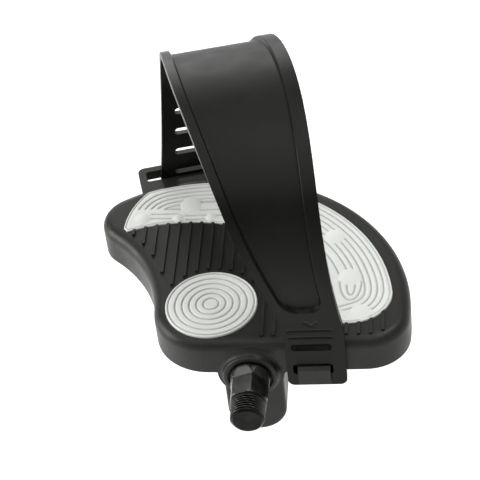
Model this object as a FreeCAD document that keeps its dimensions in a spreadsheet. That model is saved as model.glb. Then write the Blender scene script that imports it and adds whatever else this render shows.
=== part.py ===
import FreeCAD, Part
import math
import os
import Sketcher
from FreeCAD import Placement, Rotation, Vector

# Exercise bike pedal with a moulded strap and a counterweighted keel.
# Millimetres. The origin lies on the spindle axis at the shoulder that seats on the crank,
# +X runs along the foot, +Y points away from the crank and +Z points up.

doc = FreeCAD.newDocument("exercise_bike_pedal")
sheet = doc.addObject("Spreadsheet::Sheet", "Sizes")

# Platform outline: tangent arcs about the heel centre
DRIVING = [
    ("near_edge", 18.2), ("heel_x", -17.0), ("heel_radius", 24.5), ("sweep_radius", 84.0),
    ("lobe_radius", 15.7), ("lobe_angle", 123.0), ("waist_radius", 66.0), ("corner_radius", 18.5),
    ("deck_top", 16.5), ("skirt_depth", 16.3), ("deck_thick", 3.2), ("wall_thick", 2.4),
    ("edge_round", 4.5), ("cell_pitch", 15.0), ("web_thick", 2.0), ("web_lift", 2.0),
]
# Deck ridges and the two tread pads
DRIVING += [
    ("ridge_pitch", 5.0), ("ridge_wide", 1.3), ("ridge_tall", 1.0), ("ridge_margin", 4.0),
    ("ridge_gap", 2.0), ("recess_depth", 1.6), ("pad_clear", 0.25), ("round_radius", 19.5),
    ("round_shift_x", 0.35), ("round_shift_y", -1.0), ("round_proud", 0.9), ("ring_pitch", 3.0),
    ("groove_wide", 0.9), ("groove_deep", 0.5),
    ("crescent_margin", 2.7), ("crescent_shift_x", -4.5), ("crescent_shift_y", -3.0),
    ("crescent_inner", 50.0), ("crescent_proud", 0.5), ("contour_pitch", 3.2),
    ("peg_radius", 2.5), ("peg_clear", 0.15), ("peg_below", 1.2),
]
# Axle barrel, keel and strap loop of the body
DRIVING += [
    ("collar_face", 14.6), ("barrel_radius", 11.5), ("barrel_stand", 0.5), ("collar_round", 1.0),
    ("collar_flare", 2.5), ("skirt_blend", 4.0), ("keel_top", 5.0), ("cup_seat_radius", 9.65),
    ("bore_radius", 7.9), ("keel_x", 0.6), ("keel_wide", 25.0),
    ("keel_face", 18.9), ("keel_length", 88.0), ("keel_bottom", -36.5), ("keel_wall", 2.6),
    ("keel_roof", -13.5), ("slot_x", -33.9), ("slot_out", 5.1), ("slot_angle", 14.0),
    ("slot_length", 39.0), ("slot_wide", 6.8), ("loop_bar", 3.2), ("loop_depth", 5.0),
    ("loop_reach", 14.0),
]
# Strap: near plate, arch poles, widths and slots
DRIVING += [
    ("strap_thick", 3.0), ("strap_gap", 0.3), ("strap_x", 27.8), ("plate_half", 12.3),
    ("plate_bottom", -5.0), ("arch_start", 26.0), ("near_rise", 58.0), ("near_pull", -36.0),
    ("near_crown", 129.0), ("far_pull", 56.0), ("far_crown", 122.0), ("far_rise", 65.0),
    ("crown_half", 25.0), ("tail_half", 14.2), ("arch_bow", 1.0), ("arch_skew", 4.7),
    ("tail_bottom", -8.5), ("tail_shift", 1.2), ("rear_rim", 4.2), ("front_rim", 6.0),
    ("panel_deep", 1.8), ("slot_shift", -1.4), ("hook_slot_long", 16.6), ("hook_slot_tall", 5.7),
    ("hook_slot_z", 1.5), ("spare_slot_z", 15.0), ("spare_slot_tall", 3.8),
    ("ladder_long", 14.6), ("ladder_pitch", 10.7), ("ladder_tall", 3.2), ("ladder_z", 8.4),
    ("hook_wide", 13.4), ("hook_shift", -1.0), ("hook_tall", 4.2), ("hook_lip", 1.8),
    ("tongue_bottom", -3.5), ("far_hook_wide", 12.0),
]
# Spindle and bearings: ball rings run between pressed cups and cones
DRIVING += [
    ("thread_radius", 7.14), ("thread_length", 9.5), ("tip_chamfer", 1.2), ("hex_flats", 15.0),
    ("hex_length", 9.8), ("hex_runout", 5.5), ("hex_turn", 19.0), ("neck_radius", 7.4),
    ("stub_radius", 4.0),
    ("ball_radius", 1.985), ("ball_clear", 0.05), ("pitch_radius", 7.0), ("ball_count", 10),
    ("inner_ball_y", 23.0), ("outer_ball_set", 21.2), ("cup_floor", 1.8), ("cup_lip", 2.6),
    ("shoulder_set", 3.0), ("end_set", 7.7), ("taper_end", 4.7), ("cone_length", 5.0),
    ("washer_thick", 1.2), ("washer_radius", 6.6), ("nut_flats", 12.0), ("nut_thick", 5.0),
    ("key_wide", 2.0), ("key_deep", 0.9), ("seal_thick", 1.8), ("seal_set", 1.4),
    ("seal_clear", 0.3), ("cap_wall", 1.6), ("cap_plug", 6.0), ("cap_flange", 1.8),
]
# Counterweight and the plug behind it
DRIVING += [("slug_clear", 0.2), ("slug_length", 80.0), ("plug_flange", 2.2), ("plug_depth", 3.0)]

for row, (alias, value) in enumerate(DRIVING, start=1):
    sheet.set("A%d" % row, alias)
    sheet.set("B%d" % row, str(value))
    sheet.setAlias("B%d" % row, alias)
doc.recompute()


class Dim:
    """A length together with the sheet expression that gives it."""

    def __init__(self, value, text):
        self.value = float(value)
        self.text = text

    def join(self, other, sign, value):
        text = other.text if isinstance(other, Dim) else repr(other)
        return Dim(value, "(%s %s %s)" % (self.text, sign, text))

    def __float__(self):
        return self.value

    def __add__(self, other):
        return self.join(other, "+", self.value + float(other))

    def __sub__(self, other):
        return self.join(other, "-", self.value - float(other))

    def __mul__(self, other):
        return self.join(other, "*", self.value * float(other))

    def __truediv__(self, other):
        return self.join(other, "/", self.value / float(other))

    def __neg__(self):
        return Dim(-self.value, "(0 - %s)" % self.text)


def d(alias):
    """The named size as a Dim."""
    return Dim(sheet.get(alias), "Sizes." + alias)


def v(alias):
    """The named size as a plain number."""
    return float(sheet.get(alias))


def bind(obj, **sizes):
    """Set each property of obj from its Dim, by expression."""
    for name, size in sizes.items():
        obj.setExpression(name.replace("__", "."), size.text)
    return obj


def origin_plane(body, role):
    return [f for f in body.Origin.OriginFeatures if f.Role == role][0]


def new_sketch(body, name, role, lift=None):
    """Empty sketch on one of the body's origin planes, moved along its normal by lift."""
    sk = body.newObject("Sketcher::SketchObject", name)
    sk.AttachmentSupport = [(origin_plane(body, role), "")]
    sk.MapMode = "FlatFace"
    if lift is not None:
        sk.setExpression("AttachmentOffset.Base.z", lift.text)
    return sk


def arc_between(centre, start, end, turn):
    """Arc about centre from start to end; turn is 1 anticlockwise, -1 clockwise."""
    circle = Part.Circle(centre, Vector(0, 0, 1), (start - centre).Length)
    first, last = (start, end) if turn > 0 else (end, start)
    a0 = math.atan2(first.y - centre.y, first.x - centre.x)
    a1 = math.atan2(last.y - centre.y, last.x - centre.x)
    return Part.ArcOfCircle(circle, a0, a1 if a1 > a0 else a1 + 2 * math.pi)


def bound_profile(sk, corners):
    """Closed profile whose corners are bound to the sheet.

    A corner is (x, y), or (x, y, cx, cy, turn) where an arc about (cx, cy) leaves it.
    """
    points = [Vector(float(c[0]), float(c[1]), 0) for c in corners]
    count = len(corners)
    ends = []
    for i, corner in enumerate(corners):
        start, end = points[i], points[(i + 1) % count]
        if len(corner) == 5:
            centre = Vector(float(corner[2]), float(corner[3]), 0)
            sk.addGeometry(arc_between(centre, start, end, corner[4]), False)
            ends.append((1, 2) if corner[4] > 0 else (2, 1))
        else:
            sk.addGeometry(Part.LineSegment(start, end), False)
            ends.append((1, 2))
    for i, corner in enumerate(corners):
        j = (i + 1) % count
        sk.addConstraint(Sketcher.Constraint("Coincident", i, ends[i][1], j, ends[j][0]))
        for axis, kind, size in ((-2, "DistanceX", corner[0]), (-1, "DistanceY", corner[1])):
            if abs(float(size)) < 1e-9:
                sk.addConstraint(Sketcher.Constraint("PointOnObject", i, ends[i][0], axis))
                continue
            index = sk.addConstraint(
                Sketcher.Constraint(kind, -1, 1, i, ends[i][0], float(size)))
            if isinstance(size, Dim):
                sk.setExpression("Constraints[%d]" % index, size.text)
        if len(corner) == 5:
            radius = (points[i] - Vector(float(corner[2]), float(corner[3]), 0)).Length
            sk.addConstraint(Sketcher.Constraint("Radius", i, radius))


def new_body(label):
    body = doc.addObject("PartDesign::Body", label)
    body.Label = label
    return body


def turned(label, corners):
    """Body turned about the Y axis from a profile of (radius, y) corners."""
    body = new_body(label)
    sk = new_sketch(body, label + "_section", "XY_Plane")
    bound_profile(sk, corners)
    rev = body.newObject("PartDesign::Revolution", label + "_turn")
    rev.Profile = sk
    rev.ReferenceAxis = (sk, ["V_Axis"])
    rev.Angle = 360.0
    body.Tip = rev
    return body


def prism(name, edges, z0, z1):
    """Solid between two heights over a closed run of curves in plan."""
    wire = Part.Wire(Part.__sortEdges__([e.toShape() for e in edges]))
    face = Part.Face(wire)
    face.translate(Vector(0, 0, z0))
    feature = doc.addObject("Part::Feature", name)
    feature.Shape = face.extrude(Vector(0, 0, z1 - z0))
    return feature


def box(name, x, y, z, lx, ly, lz):
    feature = doc.addObject("Part::Box", name)
    bind(feature, Length=lx, Width=ly, Height=lz)
    bind(feature, Placement__Base__x=x, Placement__Base__y=y, Placement__Base__z=z)
    return feature


def y_cylinder(name, radius, y0, y1):
    """Cylinder along +Y on the spindle axis."""
    feature = doc.addObject("Part::Cylinder", name)
    bind(feature, Radius=radius, Height=y1 - y0)
    feature.Placement = Placement(Vector(0, float(y0), 0), Rotation(Vector(1, 0, 0), -90))
    feature.setExpression("Placement.Base.y", y0.text)
    return feature


def polar(degrees):
    return Vector(math.cos(math.radians(degrees)), math.sin(math.radians(degrees)), 0)


# Platform outline
heel = Vector(v("heel_x"), v("near_edge") + v("heel_radius"), 0)
lobe = heel + polar(v("lobe_angle")) * (v("sweep_radius") - v("lobe_radius"))
corner_y = v("near_edge") + v("corner_radius")
corner_run = (v("sweep_radius") - v("corner_radius")) ** 2 - (corner_y - heel.y) ** 2
corner = Vector(heel.x + math.sqrt(corner_run), corner_y, 0)


def circles_meet(a, ra, b, rb, side):
    """Point at distance ra from a and rb from b, on the given side of the line from a to b."""
    span = b - a
    along = (ra ** 2 - rb ** 2 + span.Length ** 2) / (2 * span.Length)
    across = math.sqrt(ra ** 2 - along ** 2)
    unit = Vector(span).normalize()
    return a + unit * along + Vector(-unit.y, unit.x, 0) * across * side


waist = circles_meet(heel, v("heel_radius") + v("waist_radius"),
                     lobe, v("lobe_radius") + v("waist_radius"), 1)


def toward(a, b, distance):
    return a + (b - a).normalize() * distance


def platform_outline(inset):
    """The platform's tangent arcs, moved in by inset."""
    near = v("near_edge") + inset
    p_heel, p_corner = Vector(heel.x, near, 0), Vector(corner.x, near, 0)
    p_sweep = toward(heel, corner, v("sweep_radius") - inset)
    p_lobe = toward(heel, lobe, v("sweep_radius") - inset)
    p_waist = toward(lobe, waist, v("lobe_radius") - inset)
    p_side = toward(heel, waist, v("heel_radius") - inset)
    return [
        Part.LineSegment(p_heel, p_corner),
        arc_between(corner, p_corner, p_sweep, 1),
        arc_between(heel, p_sweep, p_lobe, 1),
        arc_between(lobe, p_lobe, p_waist, 1),
        arc_between(waist, p_waist, p_side, -1),
        arc_between(heel, p_side, p_heel, 1),
    ]


# Platform blank: outline padded down from the deck, with its top edge rounded over
blank = new_body("platform_blank")
blank_sketch = new_sketch(blank, "platform_outline", "XY_Plane", d("deck_top"))
for edge in platform_outline(0.0):
    blank_sketch.addGeometry(edge, False)
blank_pad = blank.newObject("PartDesign::Pad", "platform_pad")
blank_pad.Profile = blank_sketch
blank_pad.Reversed = True
bind(blank_pad, Length=d("skirt_depth"))
doc.recompute()
top_edges = ["Edge%d" % (i + 1) for i, e in enumerate(blank_pad.Shape.Edges)
             if e.BoundBox.ZMin > v("deck_top") - 0.01]
blank_round = blank.newObject("PartDesign::Fillet", "platform_edge_round")
blank_round.Base = (blank_pad, top_edges)
bind(blank_round, Radius=d("edge_round"))
blank.Tip = blank_round

# Underside: the hollow less a lattice of webs, left as separate cells
skirt_foot = v("deck_top") - v("skirt_depth")
hollow = prism("hollow", platform_outline(v("wall_thick")), skirt_foot - 1.0,
               v("deck_top") - v("deck_thick"))
reach = v("sweep_radius") + v("heel_radius")
webs = []
web_height = d("skirt_depth") - d("web_lift") - d("deck_thick") + 1.0
for k in range(-int(reach / v("cell_pitch")), int(reach / v("cell_pitch")) + 1):
    webs.append(box("web_along_%d" % (k + 20), d("cell_pitch") * k - d("web_thick") / 2,
                    d("near_edge") - 5.0, d("deck_top") - d("skirt_depth") + d("web_lift"),
                    d("web_thick"), d("sweep_radius") + d("heel_radius") + 10.0, web_height))
for k in range(1, int(reach / v("cell_pitch")) + 1):
    webs.append(box("web_across_%d" % k, d("heel_x") - d("sweep_radius"),
                    d("near_edge") + d("cell_pitch") * k - d("web_thick") / 2,
                    d("deck_top") - d("skirt_depth") + d("web_lift"),
                    d("sweep_radius") * 2, d("web_thick"), web_height))
web_set = doc.addObject("Part::MultiFuse", "web_lattice")
web_set.Shapes = webs
cells = doc.addObject("Part::Cut", "cells")
cells.Base = hollow
cells.Tool = web_set
shell = doc.addObject("Part::Cut", "platform_shell")
shell.Base = blank
shell.Tool = cells

# Deck ridges: fine raised bars along Y, stopped at the pads and inside the outline
recess_floor = v("deck_top") - v("recess_depth")
crescent_centre = heel + Vector(v("crescent_shift_x"), v("crescent_shift_y"), 0)
crescent_radius = v("sweep_radius") - v("crescent_margin")
round_centre = heel + Vector(v("round_shift_x"), v("round_shift_y"), 0)


def ridge_span(x):
    """Lower and upper end of the deck ridge at x."""
    side = v("ridge_margin") + v("ridge_gap")
    low = v("near_edge") + v("ridge_margin")
    dx = abs(x - round_centre.x)
    ring = v("round_radius") + v("pad_clear") + v("ridge_gap")
    if dx < ring:
        low = round_centre.y + math.sqrt(ring ** 2 - dx ** 2)
    elif x < heel.x:
        bow = v("waist_radius") + side
        low = waist.y + math.sqrt(max(bow ** 2 - (x - waist.x) ** 2, 0.0))
        low = max(low, heel.y + v("ridge_margin"))
    elif x > corner.x:
        bend = v("corner_radius") - v("ridge_margin")
        low = corner.y - math.sqrt(max(bend ** 2 - (x - corner.x) ** 2, 0.0))
    arm = v("crescent_inner") + 4.0
    lift = arm - 2.0
    if x > heel.x:
        lift = math.sqrt(max(arm ** 2 - (x - heel.x) ** 2, 0.0))
    return low, heel.y + max(lift, -8.0)


ridges = []
ridge_first = heel.x - 7.5 * v("ridge_pitch")
for k in range(23):
    x = ridge_first + k * v("ridge_pitch")
    low, high = ridge_span(x)
    if high - low < 2.0:
        continue
    bar = doc.addObject("Part::Box", "deck_ridge_%d" % k)
    bind(bar, Length=d("ridge_wide"), Height=d("ridge_tall") + 0.4)
    bar.Width = high - low
    bar.Placement = Placement(
        Vector(x - v("ridge_wide") / 2, low, v("deck_top") - 0.4), Rotation())
    ridges.append(bar)

# Barrel with its collar, and the web that ties it to the deck
flare_radius = d("barrel_radius") + d("collar_flare")
barrel_end = d("near_edge") + d("heel_radius") + d("sweep_radius") + d("barrel_stand")
barrel = turned("barrel_bar", [
    (0.0, d("collar_face")), (d("barrel_radius") - d("collar_round"), d("collar_face"),
                              d("barrel_radius") - d("collar_round"),
                              d("collar_face") + d("collar_round"), 1),
    (d("barrel_radius"), d("collar_face") + d("collar_round")),
    (d("barrel_radius"), d("near_edge") - d("collar_flare"),
     flare_radius, d("near_edge") - d("collar_flare"), -1),
    (flare_radius, d("near_edge")), (flare_radius, d("near_edge") + 1.0),
    (d("barrel_radius"), d("near_edge") + 1.0), (d("barrel_radius"), barrel_end),
    (0.0, barrel_end)])
tie = box("barrel_tie", d("barrel_radius") * -0.5, d("near_edge") + 1.0, d("barrel_radius") * 0.5,
          d("barrel_radius"), barrel_end - d("near_edge") - 4.0,
          d("deck_top") - d("deck_thick") - d("barrel_radius") * 0.5 + 0.5)


def keel_edges(half, bottom, top):
    """U-shaped section in (x, z): straight sides over a half-round bottom."""
    x0 = v("keel_x")
    base = bottom + half
    left, right = Vector(x0 - half, base, 0), Vector(x0 + half, base, 0)
    return [
        Part.LineSegment(Vector(x0 - half, top, 0), left),
        arc_between(Vector(x0, base, 0), left, right, 1),
        Part.LineSegment(right, Vector(x0 + half, top, 0)),
        Part.LineSegment(Vector(x0 + half, top, 0), Vector(x0 - half, top, 0)),
    ]


def keel_body(label, half, bottom, top, y0, length):
    """Body with the keel's section, padded from y0 along +Y."""
    body = new_body(label)
    sk = new_sketch(body, label + "_section", "XZ_Plane", -y0)
    for edge in keel_edges(half, bottom, top):
        sk.addGeometry(edge, False)
    pad = body.newObject("PartDesign::Pad", label + "_pad")
    pad.Profile = sk
    pad.Reversed = True
    bind(pad, Length=length)
    body.Tip = pad
    return body, pad


keel_half = v("keel_wide") / 2
keel, keel_pad = keel_body("keel_block", keel_half, v("keel_bottom"), v("keel_top"),
                           d("keel_face"), d("keel_length"))
doc.recompute()
keel_front = ["Edge%d" % (i + 1) for i, e in enumerate(keel_pad.Shape.Edges)
              if e.BoundBox.YMax < v("keel_face") + 0.01 and e.BoundBox.ZMin < -1.0]
keel_round = keel.newObject("PartDesign::Fillet", "keel_edge_round")
keel_round.Base = (keel_pad, keel_front)
keel_round.Radius = 1.8
keel.Tip = keel_round

# Hollow blends where the near skirt runs down into the barrel and the keel


def skirt_blend(name, x, side):
    """Concave corner between the skirt's foot and an upright side at x; side is 1 or -1."""
    run = v("skirt_blend")
    foot = v("deck_top") - v("skirt_depth")
    y = v("near_edge")
    inner = x - side * 3.0
    tip, low = Vector(x + side * run, y, foot), Vector(x, y, foot - run)
    bend = run * (1 - math.sqrt(0.5))
    edges = [
        Part.Arc(tip, Vector(x + side * bend, y, foot - bend), low).toShape(),
        Part.makeLine(low, Vector(inner, y, foot - run)),
        Part.makeLine(Vector(inner, y, foot - run), Vector(inner, y, foot + 1.0)),
        Part.makeLine(Vector(inner, y, foot + 1.0), Vector(x + side * run, y, foot + 1.0)),
        Part.makeLine(Vector(x + side * run, y, foot + 1.0), tip),
    ]
    feature = doc.addObject("Part::Feature", name)
    feature.Shape = Part.Face(Part.Wire(edges)).extrude(Vector(0, v("wall_thick"), 0))
    return feature


blends = [skirt_blend("barrel_blend", -v("barrel_radius"), -1),
          skirt_blend("keel_blend", v("keel_x") + keel_half, 1)]

# Strap loop: a bar round a slot, set at an angle on the far edge
slot_turn = Rotation(Vector(0, 0, 1), v("slot_angle"))
slot_centre = Vector(v("slot_x"), heel.y + v("sweep_radius") + v("slot_out"), 0)


def slot_frame(u, w):
    """Point u along and w across the strap slot, in plan."""
    return slot_centre + slot_turn.multVec(Vector(u, w, 0))


def rounded_rectangle(u0, u1, w0, w1, radii):
    """Rounded rectangle in the slot's frame; radii run anticlockwise from (u0, w0)."""
    signs = [(1, 1), (-1, 1), (-1, -1), (1, -1)]
    corners = [(u0, w0), (u1, w0), (u1, w1), (u0, w1)]
    edges, points = [], []
    for (cu, cw), (su, sw), r in zip(corners, signs, radii):
        leave = [(cu, cw + sw * r), (cu + su * r, cw)]
        pair = leave if su * sw > 0 else leave[::-1]
        points.append((slot_frame(*pair[0]), slot_frame(*pair[1]),
                       slot_frame(cu + su * r, cw + sw * r)))
    for i, (a, b, centre) in enumerate(points):
        edges.append(arc_between(centre, a, b, 1))
        edges.append(Part.LineSegment(b, points[(i + 1) % 4][0]))
    return edges


half_slot, half_wide = v("slot_length") / 2, v("slot_wide") / 2
loop = prism("strap_loop", rounded_rectangle(
    -half_slot - v("loop_bar"), half_slot + v("loop_bar"), -half_wide - v("loop_reach"),
    half_wide + v("loop_bar"), (1.0, 1.0, 3.0, 3.0)),
    v("deck_top") - v("loop_depth"), v("deck_top") - 0.3)

# Hooks that hold the strap: one on the near wall, one under the loop's inner bar
plate_out = v("near_edge") - v("strap_gap") - v("strap_thick")
hook_low = v("hook_slot_z") + 0.4
tip_out = plate_out - v("strap_gap") - v("hook_lip")
hook_x = v("strap_x") + v("hook_shift")


def x_prism(name, points, x0, x1):
    """Solid along X over a polygon of (y, z) points."""
    ring = [Vector(x0, y, z) for y, z in points]
    feature = doc.addObject("Part::Feature", name)
    face = Part.Face(Part.makePolygon(ring + ring[:1]))
    feature.Shape = face.extrude(Vector(x1 - x0, 0, 0))
    return feature


near_hook = x_prism("near_hook", [
    (v("near_edge") + 1.0, hook_low), (v("near_edge") + 1.0, hook_low + v("hook_tall")),
    (plate_out - v("strap_gap"), hook_low + v("hook_tall")),
    (tip_out, hook_low + v("hook_tall") - v("hook_lip") * 0.5), (tip_out, v("tongue_bottom") + 0.8),
    (tip_out + 0.8, v("tongue_bottom")), (plate_out - v("strap_gap"), v("tongue_bottom")),
    (plate_out - v("strap_gap"), hook_low)],
    hook_x - v("hook_wide") / 2, hook_x + v("hook_wide") / 2)
strap_w = -half_wide + v("strap_gap") + v("strap_thick") / 2
far_hook_tip = strap_w + v("strap_thick") / 2 + 1.2
far_hook = prism("far_hook", rounded_rectangle(
    v("tail_shift") - v("far_hook_wide") / 2, v("tail_shift") + v("far_hook_wide") / 2,
    -half_wide - 8.0, far_hook_tip, (0.5, 0.5, 1.0, 1.0)),
    v("ladder_z") - v("ladder_tall") / 2 + 0.4, v("ladder_z") + v("ladder_tall") / 2 - 0.4)

solid = doc.addObject("Part::MultiFuse", "body_blank")
solid.Shapes = [shell, barrel, tie, keel, loop, near_hook, far_hook] + blends + ridges

# Crescent pad's outline: outer arc, rounded near end, inner arc about the heel, left tip


def arc3(a, b, c):
    return Part.Arc(a, b, c)


def crescent_outline():
    outer, inner, sweep = crescent_radius, v("crescent_inner"), v("sweep_radius")
    start = crescent_centre + polar(5.0) * outer
    finish = crescent_centre + polar(111.0) * outer
    tip_high = heel + Vector(41.7 - sweep, sweep - 35.0, 0)
    tip_low = heel + Vector(43.4 - sweep, sweep - 37.3, 0)
    inner_top = heel + polar(87.0) * inner
    inner_end = heel + polar(-6.0) * inner
    foot = heel + Vector(sweep - 24.5, -13.9, 0)
    return [
        arc3(start, crescent_centre + polar(58.0) * outer, finish),
        arc3(finish, heel + Vector(44.4 - sweep, sweep - 21.5, 0), tip_high),
        Part.LineSegment(tip_high, tip_low),
        arc3(tip_low, heel + Vector(-17.5, inner + 1.6, 0), inner_top),
        arc3(inner_top, heel + polar(40.0) * inner, inner_end),
        arc3(inner_end, heel + Vector(inner + 2.6, -11.9, 0), foot),
        arc3(foot, heel + Vector(sweep - 13.8, -9.6, 0), start),
    ]


crescent_wire = Part.Wire([e.toShape() for e in crescent_outline()])
crescent_recess = doc.addObject("Part::Feature", "crescent_recess")
recess_face = Part.Face(crescent_wire.makeOffset2D(v("pad_clear"), 0))
recess_face.translate(Vector(0, 0, recess_floor))
crescent_recess.Shape = recess_face.extrude(Vector(0, 0, v("recess_depth") + 3.0))
round_recess = doc.addObject("Part::Cylinder", "round_recess")
bind(round_recess, Radius=d("round_radius") + d("pad_clear"), Height=d("recess_depth") + 3.0)
round_recess.Placement = Placement(round_centre + Vector(0, 0, recess_floor), Rotation())

# Peg places that hold the pads in the deck
ROUND_PEGS = [round_centre + polar(90.0 + 120.0 * k) * (v("round_radius") * 0.6) for k in range(3)]
MID_RADIUS = (v("crescent_inner") + crescent_radius) / 2
CRESCENT_PEGS = [heel + polar(a) * MID_RADIUS for a in (0.0, 30.0, 62.0, 92.0, 118.0)]


def pegs(name, places, radius, z0, z1):
    """Upright pins at the given places, as one group."""
    feature = doc.addObject("Part::Feature", name)
    feature.Shape = Part.makeCompound(
        [Part.makeCylinder(radius, z1 - z0, Vector(p.x, p.y, z0)) for p in places])
    return feature


peg_foot = v("deck_top") - v("deck_thick") - v("peg_below")
peg_holes = pegs("peg_holes", ROUND_PEGS + CRESCENT_PEGS, v("peg_radius") + v("peg_clear"),
                 peg_foot - v("peg_clear"), recess_floor + 0.5)

# Bores of the barrel, the keel's pocket and the strap slot
seat_depth = d("inner_ball_y") + d("ball_radius") + d("ball_clear") + d("cup_floor")
outer_ball_y = barrel_end - d("outer_ball_set")
stub_shoulder = outer_ball_y - d("shoulder_set")
spindle_end = barrel_end - d("end_set")
far_seat = outer_ball_y - d("ball_radius") - d("ball_clear") - d("cup_floor")
bore = y_cylinder("barrel_bore", d("bore_radius"), d("collar_face") - 1.0, barrel_end + 1.0)
near_seat = y_cylinder("near_cup_seat", d("cup_seat_radius"), d("collar_face") - 1.0, seat_depth)
outer_seat = y_cylinder("far_cup_seat", d("cup_seat_radius"), far_seat, barrel_end + 1.0)
pocket_half = keel_half - v("keel_wall")
keel_pocket, pocket_pad = keel_body(
    "keel_pocket", pocket_half, v("keel_bottom") + v("keel_wall"), v("keel_roof"),
    d("keel_face") + d("keel_wall"), d("keel_length"))
slot_cut = prism("slot_cut", rounded_rectangle(
    -half_slot, half_slot, -half_wide, half_wide, (1.5,) * 4),
    v("deck_top") - v("loop_depth") - 1.0, v("deck_top") + 1.0)
slot_cut_keep = doc.addObject("Part::Cut", "slot_opening")
slot_cut_keep.Base = slot_cut
slot_cut_keep.Tool = far_hook
cuts = doc.addObject("Part::MultiFuse", "body_cuts")
cuts.Shapes = [crescent_recess, round_recess, peg_holes, bore, near_seat, outer_seat,
               keel_pocket, slot_cut_keep]
pedal_body = doc.addObject("Part::Cut", "pedal_body")
pedal_body.Base = solid
pedal_body.Tool = cuts
pedal_body.Refine = True

# Round tread pad: turned rings with grooves between them, on three pegs
round_body = new_body("round_pad_disc")
round_section = new_sketch(round_body, "round_pad_section", "XZ_Plane")
round_corners = [(0.0, d("deck_top") - d("recess_depth")),
                 (d("round_radius"), d("deck_top") - d("recess_depth")),
                 (d("round_radius"), d("deck_top") + d("round_proud") - 0.4),
                 (d("round_radius") - 0.4, d("deck_top") + d("round_proud"))]
rings = int((v("round_radius") - v("groove_wide")) / v("ring_pitch"))
for k in range(rings, 0, -1):
    mid = d("ring_pitch") * k + 0.3
    top = d("deck_top") + d("round_proud")
    round_corners += [(mid + d("groove_wide") / 2, top), (mid, top - d("groove_deep")),
                      (mid - d("groove_wide") / 2, top)]
round_corners.append((0.0, d("deck_top") + d("round_proud")))
bound_profile(round_section, round_corners)
round_turn = round_body.newObject("PartDesign::Revolution", "round_pad_turn")
round_turn.Profile = round_section
round_turn.ReferenceAxis = (round_section, ["V_Axis"])
round_turn.Angle = 360.0
round_body.Tip = round_turn
round_body.Placement = Placement(round_centre, Rotation())
round_pegs = pegs("round_pad_pegs", ROUND_PEGS, v("peg_radius"), peg_foot, recess_floor + 0.5)
round_pad = doc.addObject("Part::MultiFuse", "round_tread_pad")
round_pad.Shapes = [round_body, round_pegs]

# Crescent tread pad: contour grooves parallel to the outer edge and smooth round patches
crescent_top = v("deck_top") + v("crescent_proud")
crescent_body = new_body("crescent_pad_plate")
crescent_sketch = new_sketch(crescent_body, "crescent_outline", "XY_Plane",
                             d("deck_top") - d("recess_depth"))
for edge in crescent_outline():
    crescent_sketch.addGeometry(edge, False)
crescent_pad = crescent_body.newObject("PartDesign::Pad", "crescent_pad_thick")
crescent_pad.Profile = crescent_sketch
bind(crescent_pad, Length=d("recess_depth") + d("crescent_proud"))
crescent_body.Tip = crescent_pad
grooves = []
for k in range(1, 6):
    radius = crescent_radius - k * v("contour_pitch")
    ring = Part.makeCylinder(radius + v("groove_wide") / 2, 2.0).cut(
        Part.makeCylinder(radius - v("groove_wide") / 2, 2.0))
    ring.translate(crescent_centre + Vector(0, 0, crescent_top - v("groove_deep")))
    groove = doc.addObject("Part::Feature", "contour_groove_%d" % k)
    groove.Shape = ring
    grooves.append(groove)
groove_set = doc.addObject("Part::MultiFuse", "contour_grooves")
groove_set.Shapes = grooves
sweep, inner = v("sweep_radius"), v("crescent_inner")
PATCHES = [(-13.2, sweep - 20.9, 5.2), (-18.5, inner + 4.7, 2.6), (-3.5, inner + 4.5, 2.6),
           (sweep - 32.3, 39.2, 4.8), (sweep - 25.4, 13.6, 5.2), (sweep - 20.6, -7.6, 4.8)]
patches = doc.addObject("Part::Feature", "smooth_patches")
patches.Shape = Part.makeCompound([
    Part.makeCylinder(r, v("groove_deep") + 0.5,
                      heel + Vector(x, y, crescent_top - v("groove_deep") - 0.1))
    for x, y, r in PATCHES])
grooved = doc.addObject("Part::Cut", "grooved_crescent")
grooved.Base = crescent_body
grooved.Tool = groove_set
crescent_pegs = pegs("crescent_pad_pegs", CRESCENT_PEGS, v("peg_radius"), peg_foot,
                     recess_floor + 0.5)
crescent_tread = doc.addObject("Part::MultiFuse", "crescent_tread_pad")
crescent_tread.Shapes = [grooved, patches, crescent_pegs]

# Strap: a straight near plate, a Bezier arch over the foot and a straight tail through the loop
strap_far = slot_frame(v("tail_shift"), strap_w)
plate_y = v("near_edge") - v("strap_gap") - v("strap_thick") / 2
POLES = [
    Vector(0, plate_y, v("arch_start")),
    Vector(0, plate_y, v("arch_start") + v("near_rise")),
    Vector(0, plate_y + v("near_pull"), v("near_crown")),
    Vector(0, strap_far.y + v("far_pull"), v("far_crown")),
    Vector(0, strap_far.y, v("deck_top") + v("far_rise")),
    Vector(0, strap_far.y, v("deck_top")),
]
arch = Part.BezierCurve()
arch.setPoles(POLES)


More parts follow.
